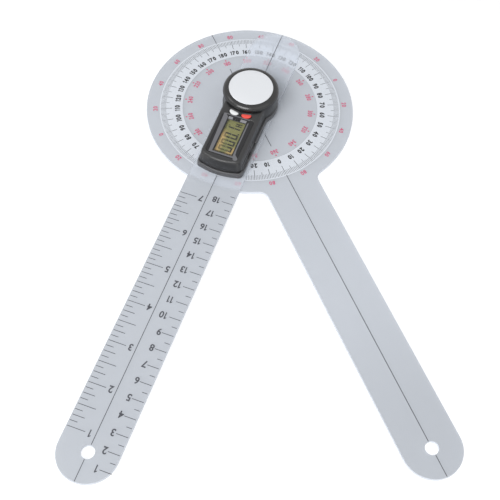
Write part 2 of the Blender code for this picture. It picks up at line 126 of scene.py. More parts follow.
# Outline of the grey frame in millimetres on the arm: up to its round flare, the flare, and from there on
FRAME_START = ((-9.2, -21.0), (-7.95, -51.0), (7.2, -51.0))
FLARE_X, FLARE_Y, FLARE_RADIUS = 8.6, -51.0, 1.4
FLARE_DEGREES = range(200, 440, 24)
FRAME_END = (
    (7.9, -48.4), (7.4, -45.0), (7.3, -23.7), (6.6, -23.7), (6.6, -49.9), (-6.1, -49.9), (-6.1, -23.3),
    (-7.6, -21.6), (7.1, -21.6), (7.1, -21.0),
)

# Lamps in metres; each is its name, place, target, size and share of the lamp power
LAMPS = (
    ("key_soft_lamp", (-0.75, 0.0, 0.72), (0.0, -0.08, 0.0), (0.4, 0.4), 0.4),
    ("fill_soft_lamp", (0.6, -0.5, 0.8), (0.0, -0.08, 0.0), (0.9, 0.9), 0.45),
    ("front_soft_lamp", (-0.47, -0.88, 0.95), (0.0, -0.04, 0.01), (0.85, 0.7), 5.4),
)

# Camera: its angles in degrees, and its place in millimetres, stepped off from a point at height zero
CAMERA_TURN, CAMERA_TILT, CAMERA_ROLL = -25.852, 59.494, 3.424
CAMERA_AIM = (5.598, -102.945, 0.0)
CAMERA_BACK, CAMERA_LEFT, CAMERA_UP = 534.753, 0.285, 0.428
SENSOR_WIDTH = 36.0

# Floor in metres
FLOOR_HALF = 4.0
FLOOR_DROP = 0.2 * MM


class GoniometerScaleSettings(bpy.types.PropertyGroup):
    """Sizes of the printed scales, and the display's reading."""

    band_inner: bpy.props.FloatProperty(
        name="Band inner radius", description="Inner edge of the white dial band",
        default=42.0 * MM, unit="LENGTH", precision=4)
    band_outer: bpy.props.FloatProperty(
        name="Band outer radius", description="Outer edge of the white dial band",
        default=56.3 * MM, unit="LENGTH", precision=4)
    line_width: bpy.props.FloatProperty(
        name="Line width", description="Width of the printed axis lines",
        default=0.38 * MM, unit="LENGTH", precision=5)
    ruler_tick: bpy.props.FloatProperty(
        name="Ruler tick width", description="Width of the ticks on the ruler arm",
        default=0.345 * MM, unit="LENGTH", precision=5)
    dial_digits: bpy.props.FloatProperty(
        name="Dial digit height", description="Height of the black numbers on the dial",
        default=3.25 * MM, unit="LENGTH", precision=4)
    red_digits: bpy.props.FloatProperty(
        name="Red digit height", description="Height of the red numbers inside the dial band",
        default=3.0 * MM, unit="LENGTH", precision=4)
    outer_digits: bpy.props.FloatProperty(
        name="Outer digit height", description="Height of the red numbers outside the dial band",
        default=2.8 * MM, unit="LENGTH", precision=4)
    ruler_digits: bpy.props.FloatProperty(
        name="Ruler digit height", description="Height of the numbers on the ruler arm",
        default=4.15 * MM, unit="LENGTH", precision=4)
    reading: bpy.props.StringProperty(
        name="Reading", description="The display's four digits, the last one after the point",
        default="0001")


class GoniometerColourSettings(bpy.types.PropertyGroup):
    """Colours of the finishes."""

    plate: bpy.props.FloatVectorProperty(
        name="Frosted plate", description="Colour of the frosted plates",
        subtype="COLOR", size=3, default=(0.58, 0.61, 0.66))
    band: bpy.props.FloatVectorProperty(
        name="Dial band", description="Colour of the pale dial band",
        subtype="COLOR", size=3, default=(0.71, 0.745, 0.80))
    ink: bpy.props.FloatVectorProperty(
        name="Black ink", description="Colour of the black print",
        subtype="COLOR", size=3, default=(0.010, 0.010, 0.012))
    red_ink: bpy.props.FloatVectorProperty(
        name="Red ink", description="Colour of the red print",
        subtype="COLOR", size=3, default=(0.61, 0.10, 0.20))
    case: bpy.props.FloatVectorProperty(
        name="Case", description="Colour of the reading head",
        subtype="COLOR", size=3, default=(0.024, 0.024, 0.0255))
    bezel: bpy.props.FloatVectorProperty(
        name="Bezel print", description="Colour of the grey frame round the display",
        subtype="COLOR", size=3, default=(0.15, 0.15, 0.162))


class GoniometerStageSettings(bpy.types.PropertyGroup):
    """Camera and light."""

    lens: bpy.props.FloatProperty(
        name="Lens", description="Focal length in millimetres on a 36 mm sensor", default=67.531)
    world_light: bpy.props.FloatProperty(
        name="Sky light", description="Strength of the even studio light", default=0.5)
    lamp_power: bpy.props.FloatProperty(
        name="Lamp power", description="Power that each soft lamp takes its share of",
        default=2.2, unit="POWER")


def scale_settings():
    """Return the scale settings of the scene."""
    return bpy.context.scene.goniometer_scale


def colours():
    """Return the colour settings of the scene."""
    return bpy.context.scene.goniometer_colours


class Finish:
    """A material with its Principled shader, its node tree and short ways to add nodes."""

    def __init__(self, name):
        self.material = bpy.data.materials.new(name)
        self.material.use_nodes = True
        self.nodes = self.material.node_tree.nodes
        self.shader = self.nodes["Principled BSDF"]
        self.coordinates = None

    def add(self, kind, **settings):
        """Add a node and set its properties."""
        node = self.nodes.new(kind)
        for key, value in settings.items():
            setattr(node, key, value)
        return node

    def join(self, source, target):
        """Link two sockets."""
        self.material.node_tree.links.new(source, target)

    def drive(self, socket, source):
        """Link an output to one of the shader's sockets."""
        self.join(source, self.shader.inputs[socket])

    def set(self, **values):
        """Set constant values on the shader's sockets."""
        for key, value in values.items():
            socket = self.shader.inputs[key.replace("_", " ").title().replace("Ior", "IOR")]
            socket.default_value = (*value, 1.0) if isinstance(value, (tuple, list)) else value

    def place(self, turn=0.0):
        """Return the object coordinates, turned about the pivot."""
        if self.coordinates is None:
            self.coordinates = self.add("ShaderNodeTexCoord")
        mapping = self.add("ShaderNodeMapping")
        mapping.inputs["Rotation"].default_value = (0.0, 0.0, turn)
        self.join(self.coordinates.outputs["Object"], mapping.inputs["Vector"])
        return mapping.outputs["Vector"]

    def noise(self, scale, detail=3.0):
        """Return the factor of a noise texture in object coordinates."""
        texture = self.add("ShaderNodeTexNoise")
        texture.inputs["Scale"].default_value = scale
        texture.inputs["Detail"].default_value = detail
        self.join(self.place(), texture.inputs["Vector"])
        return texture.outputs["Fac"]

    def spread(self, factor, low, high):
        """Map a factor from 0..1 to low..high."""
        ranged = self.add("ShaderNodeMapRange")
        ranged.inputs["To Min"].default_value = low
        ranged.inputs["To Max"].default_value = high
        self.join(factor, ranged.inputs["Value"])
        return ranged.outputs["Result"]

    def ramp(self, value, start, end):
        """Return a smooth step of a value from 0 at start to 1 at end."""
        step = self.add("ShaderNodeMapRange", interpolation_type="SMOOTHSTEP")
        step.inputs["From Min"].default_value = start
        step.inputs["From Max"].default_value = end
        self.join(value, step.inputs["Value"])
        return step.outputs["Result"]

    def math(self, operation, first, second):
        """Return what an operation makes of two outputs."""
        node = self.add("ShaderNodeMath", operation=operation)
        self.join(first, node.inputs[0])
        self.join(second, node.inputs[1])
        return node.outputs["Value"]

    def blend(self, factor, first, second):
        """Return a mix of two colours; each is a tuple or another node's output."""
        mix = self.add("ShaderNodeMix", data_type="RGBA")
        for socket, colour in zip([s for s in mix.inputs if s.type == "RGBA"], (first, second)):
            if isinstance(colour, tuple):
                socket.default_value = (*colour, 1.0)
            else:
                self.join(colour, socket)
        self.join(factor, mix.inputs["Factor"])
        return [s for s in mix.outputs if s.type == "RGBA"][0]

    def tint(self, factor, dark, light):
        """Drive the base colour between two colours."""
        self.drive("Base Color", self.blend(factor, dark, light))

    def gloss(self, scale, low, high):
        """Drive the roughness unevenly between two values."""
        self.drive("Roughness", self.spread(self.noise(scale), low, high))

    def bump(self, factor, strength, rounding=0.0):
        """Drive the shader's normal from a height and, where a rounding is given, make edges look round."""
        node = self.add("ShaderNodeBump")
        node.inputs["Strength"].default_value = strength
        node.inputs["Distance"].default_value = GRAIN_DEPTH
        self.join(factor, node.inputs["Height"])
        self.drive("Normal", node.outputs["Normal"])
        if rounding:
            soft = self.add("ShaderNodeBevel", samples=8)
            soft.inputs["Radius"].default_value = rounding
            self.join(soft.outputs["Normal"], node.inputs["Normal"])

    def reach(self):
        """Return the distance from the pivot axis."""
        flat = self.add("ShaderNodeVectorMath", operation="MULTIPLY")
        flat.inputs[1].default_value = (1.0, 1.0, 0.0)
        self.join(self.place(), flat.inputs[0])
        length = self.add("ShaderNodeVectorMath", operation="LENGTH")
        self.join(flat.outputs["Vector"], length.inputs[0])
        return length.outputs["Value"]

    def along(self, weights):
        """Return a weighted sum of the arm's own x, y and z."""
        dot = self.add("ShaderNodeVectorMath", operation="DOT_PRODUCT")
        dot.inputs[1].default_value = weights
        self.join(self.place(-arm_turn()), dot.inputs[0])
        return dot.outputs["Value"]

    def upright(self):
        """Return 1 on upright faces, such as a sheet's cut edge, and 0 on level ones."""
        geometry = self.add("ShaderNodeNewGeometry")
        split = self.add("ShaderNodeSeparateXYZ")
        self.join(geometry.outputs["True Normal"], split.inputs["Vector"])
        size = self.add("ShaderNodeMath", operation="ABSOLUTE")
        self.join(split.outputs["Z"], size.inputs[0])
        return self.ramp(size.outputs["Value"], 0.95, 0.5)

    def thinned(self, alpha, left, cloud):
        """Return an alpha that clouds a little, and of which shadows keep only a part.

        Light spreads through a milky sheet, so its shadow is faint.
        """
        path = self.add("ShaderNodeLightPath")
        keep = self.add("ShaderNodeMath", operation="MULTIPLY_ADD")
        keep.inputs[1].default_value = left - 1.0
        self.join(path.outputs["Is Shadow Ray"], keep.inputs[0])
        self.join(self.spread(cloud, 0.98, 1.02), keep.inputs[2])
        return self.math("MULTIPLY", alpha, keep.outputs["Value"])


def shade(colour, factor):
    """Return a colour times a factor."""
    return tuple(min(1.0, part * factor) for part in colour)


def frosted_finish(name, colour, alpha, far_painted_shade, centre, centre_painted_light, centre_alpha, tail=None):
    """Return a frosted translucent sheet: milky, with a fine satin grain and cut edges painted paler as a
    painted highlight.

    It has its own alpha inside the centre radius and, where given, in a tail behind the pivot, and there its
    own shade: painted light that makes the sheet paler over the dial.
    Its far end is painted darker, a painted shade for the light that falls off towards that end.
    """
    centre_edge, tail_edge = 0.4 * MM, 1.0 * MM
    far_start, far_end = 130.0 * MM, 230.0 * MM
    made = Finish(name)
    cloud = made.noise(35.0, 2.0)
    reach = made.reach()
    inside = made.ramp(reach, centre + centre_edge, centre - centre_edge)
    ground = made.blend(cloud, shade(colour, 0.98), shade(colour, 1.02))
    # Painted shade: the far end darkens, standing in for light that falls off along the plate.
    ground = made.blend(made.ramp(reach, far_start, far_end), ground, shade(colour, far_painted_shade))
    # Painted light: a paler shade inside the centre radius stands in for light reaching the sheet over the
    # dial.
    ground = made.blend(inside, ground, shade(colour, centre_painted_light))
    clear = made.spread(inside, alpha, centre_alpha)
    if tail:
        tail_painted_light, tail_alpha = tail
        behind = made.ramp(made.along((0.0, 1.0, 0.0)), -tail_edge, tail_edge)
        # Painted light: the tail behind the pivot is painted paler as well.
        ground = made.blend(behind, ground, shade(colour, tail_painted_light))
        mixed = made.add("ShaderNodeMix", data_type="FLOAT")
        made.join(behind, mixed.inputs[0])
        made.join(clear, mixed.inputs[2])
        mixed.inputs[3].default_value = tail_alpha
        clear = mixed.outputs[0]
    # Painted highlight: upright cut edges are painted paler, standing in for the light they catch.
    made.tint(made.upright(), ground, shade(colour, 1.4))
    made.drive("Alpha", made.thinned(clear, 0.2, cloud))
    made.gloss(900.0, 0.42, 0.58)
    made.bump(made.noise(2600.0, 2.0), 0.06)
    made.set(ior=1.49)
    return made.material


def moulded_finish(name, colour, rough, grain, shine=0.5, rounding=0.0):
    """Return moulded plastic with a fine spark-eroded grain and slightly uneven gloss."""
    made = Finish(name)
    made.tint(made.noise(160.0, 4.0), shade(colour, 0.85), shade(colour, 1.15))
    made.gloss(420.0, rough - 0.06, rough + 0.06)
    made.bump(made.noise(3800.0, 2.0), grain, rounding)
    made.set(specular_ior_level=shine)
    return made.material


def ink_finish(name, colour):
    """Return screen-printed ink with a little unevenness."""
    made = Finish(name)
    made.tint(made.noise(1500.0), shade(colour, 0.85), shade(colour, 1.15))
    made.set(roughness=0.55)
    return made.material


def metal_finish(name, colour, rough):
    """Return machined metal with fine turning marks about the pivot."""
    made = Finish(name)
    rings = made.add("ShaderNodeTexWave", wave_type="RINGS", rings_direction="Z", wave_profile="SIN")
    rings.inputs["Scale"].default_value = 1100.0
    rings.inputs["Distortion"].default_value = 0.6
    made.join(made.place(), rings.inputs["Vector"])
    made.bump(rings.outputs["Fac"], 0.05)
    made.tint(made.noise(90.0), shade(colour, 0.97), shade(colour, 1.0))
    made.gloss(260.0, rough - 0.05, rough + 0.05)
    made.set(metallic=1.0)
    return made.material


def display_finish(name):
    """Return the display's reflective ground: olive, with a golden left side and far right corner."""
    olive, golden = (0.225, 0.222, 0.075), (0.58, 0.405, 0.155)
    made = Finish(name)
    across = made.ramp(made.along((-1.0, 0.0, 0.0)), 1.2 * MM, 4.0 * MM)
    down = made.ramp(made.along((0.0, -1.0, 0.0)), 30.0 * MM, 36.0 * MM)
    corner = made.ramp(made.along((1.3, -1.0, 0.0)), 47.5 * MM, 51.5 * MM)
    left = made.math("MULTIPLY", across, down)
    made.tint(made.math("MAXIMUM", left, corner), olive, golden)
    made.gloss(900.0, 0.25, 0.35)
    made.set(specular_ior_level=0.1)
    return made.material


def segment_finish(name):
    """Return the display's dark segments, fainter towards the far end."""
    made = Finish(name)
    made.tint(made.noise(700.0), (0.02, 0.019, 0.012), (0.03, 0.028, 0.017))
    fade = made.ramp(made.along((-2.0, -1.0, 0.0)), 37.0 * MM, 42.0 * MM)
    made.drive("Alpha", made.spread(fade, 0.97, 0.2))
    made.set(roughness=0.5, specular_ior_level=0.1)
    return made.material


def clear_finish(name):
    """Return the clear window's finish."""
    made = Finish(name)
    made.gloss(300.0, 0.06, 0.12)
    made.set(base_color=(0.8, 0.82, 0.8), alpha=0.03, ior=1.49, specular_ior_level=0.15)
    return made.material


def board_finish(name):
    """Return green laminate with faint copper lines."""
    made = Finish(name)
    weave = made.add("ShaderNodeTexBrick")
    weave.inputs["Scale"].default_value = 320.0
    weave.inputs["Color1"].default_value = (0.02, 0.16, 0.07, 1.0)
    weave.inputs["Color2"].default_value = (0.03, 0.2, 0.09, 1.0)
    weave.inputs["Mortar"].default_value = (0.08, 0.3, 0.12, 1.0)
    made.join(made.place(), weave.inputs["Vector"])
    made.drive("Base Color", weave.outputs["Color"])
    made.set(roughness=0.45)
    return made.material


def smooth_tree():
    """Return a tree that shades smooth and keeps edges over the given angle sharp."""
    tree = bpy.data.node_groups.get("smooth_by_angle")
    if tree:
        return tree
    tree = bpy.data.node_groups.new("smooth_by_angle", "GeometryNodeTree")
    tree.interface.new_socket("Geometry", in_out="INPUT", socket_type="NodeSocketGeometry")
    angle = tree.interface.new_socket("Angle", in_out="INPUT", socket_type="NodeSocketFloat")
    angle.default_value = math.radians(35.0)
    tree.interface.new_socket("Geometry", in_out="OUTPUT", socket_type="NodeSocketGeometry")
    add, join = tree.nodes.new, tree.links.new
    begin, end = add("NodeGroupInput"), add("NodeGroupOutput")
    edge, over = add("GeometryNodeInputMeshEdgeAngle"), add("FunctionNodeCompare")
    faces, edges = add("GeometryNodeSetShadeSmooth"), add("GeometryNodeSetShadeSmooth")
    edges.domain = "EDGE"
    edges.inputs["Shade Smooth"].default_value = False
    join(begin.outputs["Geometry"], faces.inputs["Geometry"])
    join(faces.outputs["Geometry"], edges.inputs["Geometry"])
    join(edge.outputs["Unsigned Angle"], over.inputs[0])
    join(begin.outputs["Angle"], over.inputs[1])
    join(over.outputs["Result"], edges.inputs["Selection"])
    join(edges.outputs["Geometry"], end.inputs["Geometry"])
    return tree


def soften(node, width):
    """Weld a CAD node's loose triangles, round its sharp edges and shade it smooth."""
    weld = node.modifiers.new("weld", "WELD")
    weld.merge_threshold = 0.002 * MM
    if width:
        bevel = node.modifiers.new("edge", "BEVEL")
        bevel.width = width
        bevel.segments = 2
        bevel.limit_method = "ANGLE"
        bevel.angle_limit = math.radians(40.0)
        bevel.use_clamp_overlap = True
    node.modifiers.new("smooth", "NODES").node_group = smooth_tree()


def paint(node_names, finish, edge=0.0):
    """Give CAD nodes a finish, softened edges and smooth shading."""
    for name in node_names:
        node = frame["nodes"][name]
        node.data.materials.clear()
        node.data.materials.append(finish)
        soften(node, edge)


def tick_tree():
    """Return a tree that repeats one flat tick along a turn and a step."""
    tree = bpy.data.node_groups.get("tick_row")
    if tree:
        return tree
    tree = bpy.data.node_groups.new("tick_row", "GeometryNodeTree")
    kinds = {"Count": "Int", "Turn": "Float", "Step": "Vector", "Place": "Vector",
             "Width": "Float", "Length": "Float", "Finish": "Material"}
    for name, kind in kinds.items():
        tree.interface.new_socket(name, in_out="INPUT", socket_type="NodeSocket" + kind)
    tree.interface.new_socket("Geometry", in_out="OUTPUT", socket_type="NodeSocketGeometry")
    add, join = tree.nodes.new, tree.links.new
    begin, end = add("NodeGroupInput"), add("NodeGroupOutput")
    points, index = add("GeometryNodePoints"), add("GeometryNodeInputIndex")
    grid, moved = add("GeometryNodeMeshGrid"), add("GeometryNodeTransform")
    grid.inputs["Vertices X"].default_value = 2
    grid.inputs["Vertices Y"].default_value = 2
    spin, euler = add("ShaderNodeMath"), add("ShaderNodeCombineXYZ")
    spin.operation = "MULTIPLY"
    offset, shift = add("ShaderNodeVectorMath"), add("GeometryNodeSetPosition")
    offset.operation = "SCALE"
    copies, solid = add("GeometryNodeInstanceOnPoints"), add("GeometryNodeRealizeInstances")
    coat = add("GeometryNodeSetMaterial")
    join(begin.outputs["Count"], points.inputs["Count"])
    join(begin.outputs["Width"], grid.inputs["Size X"])
    join(begin.outputs["Length"], grid.inputs["Size Y"])
    join(grid.outputs["Mesh"], moved.inputs["Geometry"])
    join(begin.outputs["Place"], moved.inputs["Translation"])
    join(index.outputs["Index"], spin.inputs[0])
    join(begin.outputs["Turn"], spin.inputs[1])
    join(spin.outputs["Value"], euler.inputs["Z"])
    join(begin.outputs["Step"], offset.inputs[0])
    join(index.outputs["Index"], offset.inputs["Scale"])
    join(points.outputs["Points"], shift.inputs["Geometry"])
    join(offset.outputs["Vector"], shift.inputs["Offset"])
    join(shift.outputs["Geometry"], copies.inputs["Points"])
    join(moved.outputs["Geometry"], copies.inputs["Instance"])
    join(euler.outputs["Vector"], copies.inputs["Rotation"])
    join(copies.outputs["Instances"], solid.inputs["Geometry"])
    join(solid.outputs["Geometry"], coat.inputs["Geometry"])
    join(begin.outputs["Finish"], coat.inputs["Material"])
    join(coat.outputs["Geometry"], end.inputs["Geometry"])
    return tree


def plain_mesh(carrier):
    """Return an object's evaluated mesh and remove the object."""
    graph = bpy.context.evaluated_depsgraph_get()
    mesh = bpy.data.meshes.new_from_object(carrier.evaluated_get(graph))
    bpy.data.objects.remove(carrier)
    return mesh


def tick_row(finish, count, width, length, place, turn=0.0, step=(0.0, 0.0, 0.0)):
    """Return the plain mesh of one row of ticks; lengths in metres, the turn between two in radians."""
    carrier = bpy.data.objects.new("tick_carrier", bpy.data.meshes.new("tick_carrier"))
    bpy.context.scene.collection.objects.link(carrier)
    rows = carrier.modifiers.new("ticks", "NODES")
    rows.node_group = tick_tree()
    values = {"Count": count, "Turn": turn, "Step": step, "Place": place,
              "Width": width, "Length": length, "Finish": finish}
    for item in rows.node_group.interface.items_tree:
        if item.in_out == "INPUT":
            rows[item.identifier] = values[item.name]
    return plain_mesh(carrier)


# Characters one unit high: those made so far, their gap, the boldest that two digits can be, and a one
GLYPHS = {}
GLYPH_GAP = 0.13
MOST_WEIGHT = {"3": 0.035, "8": 0.045}
STEM_LEFT, STEM_RIGHT, STEM_WEIGHT = 0.17, 0.33, 0.02
ONE = (
    (STEM_LEFT, 0.0), (STEM_RIGHT, 0.0), (STEM_RIGHT, 1.0), (0.2, 1.0),
    (0.0, 0.83), (0.0, 0.68), (STEM_LEFT, 0.79),
)


def font_glyph(char, weight):
    """Return the points, faces and width of a character of the built-in font, made one unit high."""
    curve = bpy.data.curves.new("number", "FONT")
    curve.body = char
    curve.resolution_u = 4
    curve.offset = weight
    carrier = bpy.data.objects.new("number", curve)
    bpy.context.scene.collection.objects.link(carrier)
    mesh = plain_mesh(carrier)
    bpy.data.curves.remove(curve)
    points = [(v.co.x, v.co.y) for v in mesh.vertices]
    faces = [list(face.vertices) for face in mesh.polygons]
    bpy.data.meshes.remove(mesh)
    x0, y0 = min(x for x, y in points), min(y for x, y in points)
    tall = max(y for x, y in points) - y0
    points = [((x - x0) / tall, (y - y0) / tall) for x, y in points]
    return points, faces, max(x for x, y in points)


def glyph(char, weight):
    """Return a character's points, faces and width; the one is our own and the nine is a turned six."""
    if (char, weight) not in GLYPHS:
        if char == "1":
            wider = [(x + (weight - STEM_WEIGHT if x == STEM_RIGHT else 0.0), y) for x, y in ONE]
            GLYPHS[char, weight] = (wider, [list(range(len(ONE)))], STEM_RIGHT + weight)
        elif char == "9":
            shape, loops, width = glyph("6", weight)
            GLYPHS[char, weight] = ([(width - x, 1.0 - y) for x, y in shape], loops, width)
        else:
            GLYPHS[char, weight] = font_glyph(char, min(weight, MOST_WEIGHT.get(char, weight)))
    return GLYPHS[char, weight]


def number_mesh(text, height, place, turn, weight=0.026, wide=0.92):
    """Return a flat number as a mesh, centred on place, its top turned by turn from +Y.

    Weight thickens the strokes, and wide is the share of the font's width.
    """
    points, faces, pen = [], [], 0.0
    for char in text:
        shape, loops, width = glyph(char, weight)
        faces += [[i + len(points) for i in loop] for loop in loops]
        points += [(pen + x, y, 0.0) for x, y in shape]
        pen += width + GLYPH_GAP
    mesh = bpy.data.meshes.new("number")
    mesh.from_pydata(points, [], faces)
    centre = Matrix.Translation((-(pen - GLYPH_GAP) / 2, -0.5, 0.0))
    size = Matrix.Diagonal((height * wide, height, 1.0, 1.0))
    mesh.transform(Matrix.Translation(place) @ Matrix.Rotation(turn, 4, "Z") @ size @ centre)
    return mesh


def dial_ring(ring, degrees, z, height, label=int):
    """Return a ring's numbers on both sides of the dial; label turns an angle into its number."""
    radius, weight, wide = ring
    numbers = []
    for value in degrees:
        for side in (-1, 1):
            if side < 0 and value in (0, 180):
                continue
            angle = math.radians(side * value)
            place = Vector((math.sin(angle), -math.cos(angle), 0.0)) * radius * MM
            place.z = z
            numbers.append(number_mesh(str(label(value)), height, place, angle + math.pi, weight, wide))
    return numbers


def flat_mesh(outline, z):
    """Return a flat shape from an outline; millimetres in the plane, metres in height."""
    mesh = bpy.data.meshes.new("flat")
    bm = bmesh.new()
    face = bm.faces.new([bm.verts.new((x * MM, y * MM, z)) for x, y in outline])
    bm.normal_update()
    if face.normal.z < 0.0:
        face.normal_flip()
    bmesh.ops.triangulate(bm, faces=bm.faces[:])
    bm.to_mesh(mesh)
    bm.free()
    return mesh


def bar(x0, x1, y0, y1, z):
    """Return a flat rectangle; millimetres in the plane, metres in height."""
    return flat_mesh(((x0, y0), (x1, y0), (x1, y1), (x0, y1)), z)


def axis_lines(spans, z):
    """Return the stretches of a line along an arm."""
    half = scale_settings().line_width / MM / 2
    return [bar(-half, half, low, high, z) for low, high in spans]


def band_mesh(inner, outer, z, steps):
    """Return a flat ring."""
    mesh = bpy.data.meshes.new("band")
    bm = bmesh.new()
    rows = []
    for radius in (inner, outer):
        row = []
        for i in range(steps):
            angle = 2.0 * math.pi * i / steps
            row.append(bm.verts.new((radius * math.cos(angle), radius * math.sin(angle), z)))
        rows.append(row)
    for i in range(steps):
        j = (i + 1) % steps
        bm.faces.new((rows[0][i], rows[1][i], rows[1][j], rows[0][j]))
    bm.to_mesh(mesh)
    bm.free()
    return mesh


def segment_outlines(width, height, thick):
    """Return the seven bars of a display digit as named outlines about its centre, in millimetres."""
    w, h, t = width / 2 - thick / 2, height / 2 - thick / 2, thick / 2
    mitre, waist = 0.05, 0.16
    top = [(-w - t + mitre, h + t), (w + t - mitre, h + t), (w - t - mitre, h - t), (-w + t + mitre, h - t)]
    middle = [(-w + t, -t), (-w + t, t), (w - t, t), (w - t, -t)]
    side = [(w + t, waist), (w + t, h + t - mitre), (w - t, h - t - mitre), (w - t, waist)]
    return {
        "a": top, "d": [(x, -y) for x, y in top], "g": middle,
        "b": side, "c": [(x, -y) for x, y in side],
        "f": [(-x, y) for x, y in side], "e": [(-x, -y) for x, y in side],
    }


def piece(name, meshes, finish, body, place=None):
    """Join flat meshes into one thin layer of ink that rides on a body."""
    bm = bmesh.new()
    for mesh in meshes:
        bm.from_mesh(mesh)
        bpy.data.meshes.remove(mesh)
    for face in bm.faces:
        if face.normal.z < 0.0:
            face.normal_flip()
    bmesh.ops.solidify(bm, geom=bm.faces[:], thickness=INK)
    bmesh.ops.recalc_face_normals(bm, faces=bm.faces[:])
    joined = bpy.data.meshes.new(name)
    bm.to_mesh(joined)
    bm.free()
    if place:
        joined.transform(place)
    joined.materials.append(finish)
    # Ticks come out of their tree with the number of a second slot
    for polygon in joined.polygons:
        polygon.material_index = 0
    made = bpy.data.objects.new(name, joined)
    bpy.context.scene.collection.objects.link(made)
    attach(made, body)


class GONIOMETER_OT_plates(bpy.types.Operator):
    """Finish the frosted dial plate and ruler arm"""

    bl_idname = "goniometer.plates"
    bl_label = "Frosted plates"

    def execute(self, context):
        colour = colours().plate
        dial = frosted_finish(
            "frosted_dial_plate", colour, alpha=0.78, far_painted_shade=0.86,
            centre=scale_settings().band_inner, centre_painted_light=1.0, centre_alpha=0.78)
        # The ruler arm is painted paler over the dial and in its tail, as painted light.
        ruler = frosted_finish(
            "frosted_ruler_arm", shade(colour, 0.91), alpha=0.78, far_painted_shade=0.94,
            centre=OVER_DIAL_RADIUS * MM, centre_painted_light=1.38, centre_alpha=0.32, tail=(1.46, 0.3))
        paint(["base_plate"], dial)
        paint(["ruler_arm"], ruler)
        return {"FINISHED"}


class GONIOMETER_OT_dial_print(bpy.types.Operator):
    """Print the dial's band, ticks, numbers and axis line"""

    bl_idname = "goniometer.dial_print"
    bl_label = "Dial print"

    def execute(self, context):
        sizes = scale_settings()
        black = ink_finish("dial_black_ink", colours().ink)
        grey = ink_finish("dial_line_ink", (0.05, 0.052, 0.06))
        red = ink_finish("dial_red_ink", colours().red_ink)
        white = ink_finish("dial_band_ink", colours().band)
        low = BASE_TOP + LIFT
        top = low + LIFT
        band = band_mesh(sizes.band_inner, sizes.band_outer, low, BAND_STEPS)
        piece("dial_band", [band], white, "base")
        ticks = []
        for count, inner, width in DIAL_TICKS:
            length = (DIAL_TICK_END - inner) * MM
            place = (0.0, length / 2 - DIAL_TICK_END * MM, top)
            ticks.append(tick_row(grey, count, width * MM, length, place, 2.0 * math.pi / count))
        piece("dial_ticks", ticks, grey, "base")
        numbers = dial_ring(BLACK_RING, range(0, 190, 10), top, sizes.dial_digits)
        piece("dial_numbers", numbers, black, "base")
        place = (0.0, -RED_MARK_RADIUS * MM, low)
        step = 2.0 * math.pi / RED_MARKS
        marks = [tick_row(red, RED_MARKS, RED_MARK_WIDTH * MM, RED_MARK_LENGTH * MM, place, step)]
        marks += dial_ring(RED_RING, range(0, 200, 20), low, sizes.red_digits, lambda at: 360 - at)
        piece("dial_red_numbers", marks, red, "base")
        outer = dial_ring(OUTER_RING, range(10, 180, 20), low, sizes.outer_digits, lambda at: abs(90 - at))
        piece("dial_outer_numbers", outer, red, "base")
        piece("dial_axis_line", axis_lines(DIAL_LINES, low), grey, "base")
        return {"FINISHED"}


class GONIOMETER_OT_ruler_print(bpy.types.Operator):
    """Print the ruler arm's centimetre and inch scales and its axis line"""

    bl_idname = "goniometer.ruler_print"
    bl_label = "Ruler print"

    def execute(self, context):
        black = ink_finish("ruler_ink", (0.07, 0.072, 0.085))
        tick = scale_settings().ruler_tick
        z = ARM_TOP + LIFT
        ticks = []
        for count, first, step, x0, x1 in RULER_TICKS:
            across = abs(x1 - x0) * MM
            place = ((x0 + x1) / 2 * MM, (ARM_TIP + first) * MM, z)
            ticks.append(tick_row(black, count, across, tick, place, step=(0.0, step * MM, 0.0)))
        piece("ruler_ticks", ticks, black, "arm", ARM)
        numbers = []
        for value in range(1, LAST_CENTIMETRE + 1):
            x = ONE_DIGIT_X if value < 10 else TWO_DIGIT_X
            numbers.append(self.number(value, x, CENTIMETRE * value, z))
        for value in range(1, LAST_INCH + 1):
            numbers.append(self.number(value, INCH_DIGIT_X, INCH * value, z))
        piece("ruler_numbers", numbers, black, "arm", ARM)
        piece("ruler_axis_line", axis_lines(RULER_LINES, z), black, "arm", ARM)
        return {"FINISHED"}

    def number(self, value, x, y, z):
        """Return a number at its millimetres across the arm and from the tip, and its height in metres."""
        place = Vector((x * MM, (ARM_TIP + y) * MM, z))
        return number_mesh(str(value), scale_settings().ruler_digits, place, math.pi)


